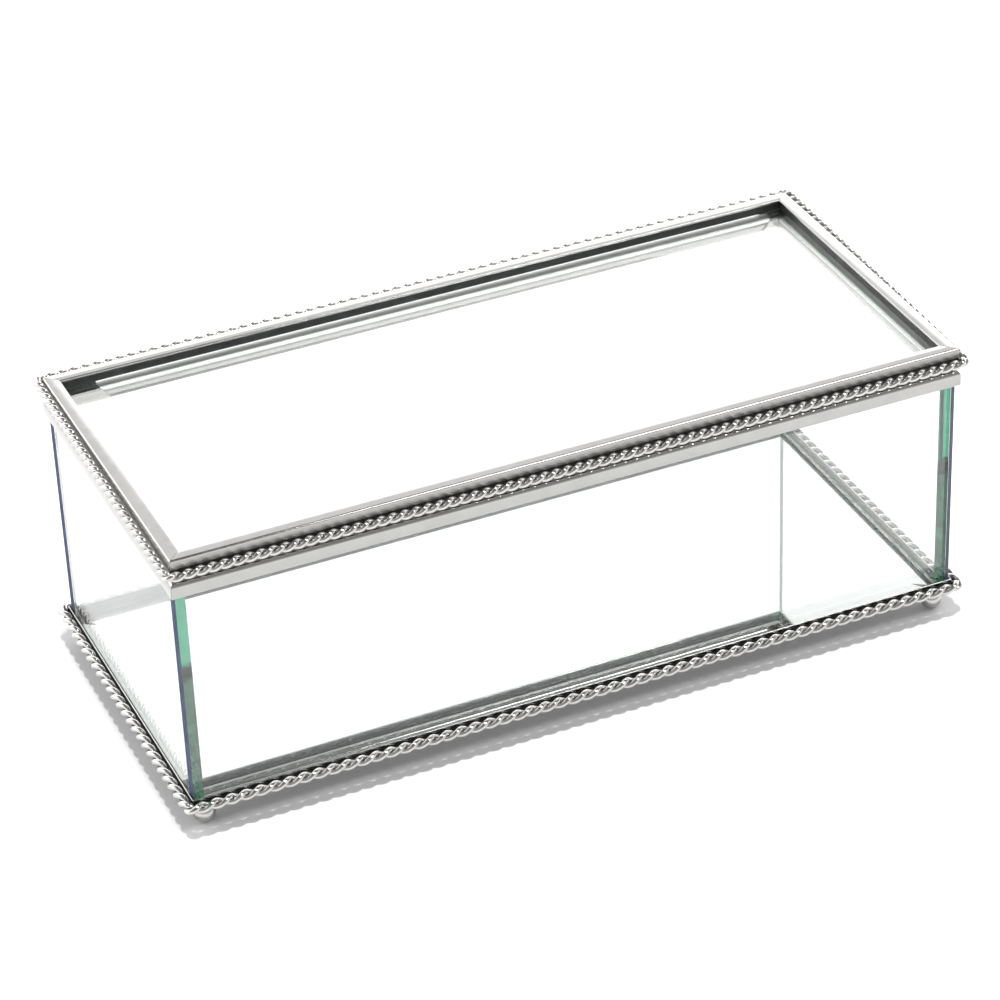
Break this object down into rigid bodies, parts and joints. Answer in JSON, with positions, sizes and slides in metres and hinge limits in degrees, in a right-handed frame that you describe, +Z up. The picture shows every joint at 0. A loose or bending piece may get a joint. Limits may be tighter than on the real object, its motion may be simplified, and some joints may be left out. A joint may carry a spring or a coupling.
{
  "type": "vanity trinket box",
  "caption": "Rectangular clear glass trinket box with a mirror floor, a hinged glass lid in a silver frame, twisted rope trim and ball feet.",
  "frame": {"origin": "on the table under the middle of the box, level with the flats of the feet", "axes": "+X along the box's length to the right, +Y to the rear where the lid is hinged, +Z up"},
  "size_m": [0.203, 0.0936, 0.0743],
  "materials": {
    "clear_glass": "clear float glass with polished green edges",
    "mirror": "back-silvered mirror glass",
    "silver_frame": "silver plate, polished, with fine drawing marks",
    "silver_rope": "silver-plated twisted wire, bright on the crests and dark in the grooves",
    "silver_feet": "silver-plated balls, polished",
    "hinge_metal": "silver plate, satin"
  },
  "bodies": {
    "box": {"front_glass": "clear_glass", "rear_glass": "clear_glass", "left_glass": "clear_glass", "right_glass": "clear_glass", "mirror_base": "mirror", "tray_rail_front": "silver_frame", "tray_rail_rear": "silver_frame", "tray_rail_left": "silver_frame", "tray_rail_right": "silver_frame", "base_rope": "silver_rope", "foot_front_left": "silver_feet", "foot_front_right": "silver_feet", "foot_rear_left": "silver_feet", "foot_rear_right": "silver_feet", "rim_rail_front": "silver_frame", "rim_rail_rear": "silver_frame", "rim_rail_left": "silver_frame", "rim_rail_right": "silver_frame", "box_hinge_leaf_left": "hinge_metal", "box_hinge_leaf_right": "hinge_metal", "hinge_pin_left": "hinge_metal", "hinge_pin_right": "hinge_metal"},
    "lid": {"lid_glass": "clear_glass", "lid_rail_front": "silver_frame", "lid_rail_rear": "silver_frame", "lid_rail_left": "silver_frame", "lid_rail_right": "silver_frame", "lid_rope": "silver_rope", "lid_hinge_leaf_left": "hinge_metal", "lid_hinge_leaf_right": "hinge_metal"}
  },
  "joints": [
    {"name": "lid_hinge", "type": "hinge", "parent": "box", "child": "lid", "pos_m": [0, 0.04535, 0.0684], "axis": [-1, 0, 0], "range_deg": [0, 100]}
  ]
}
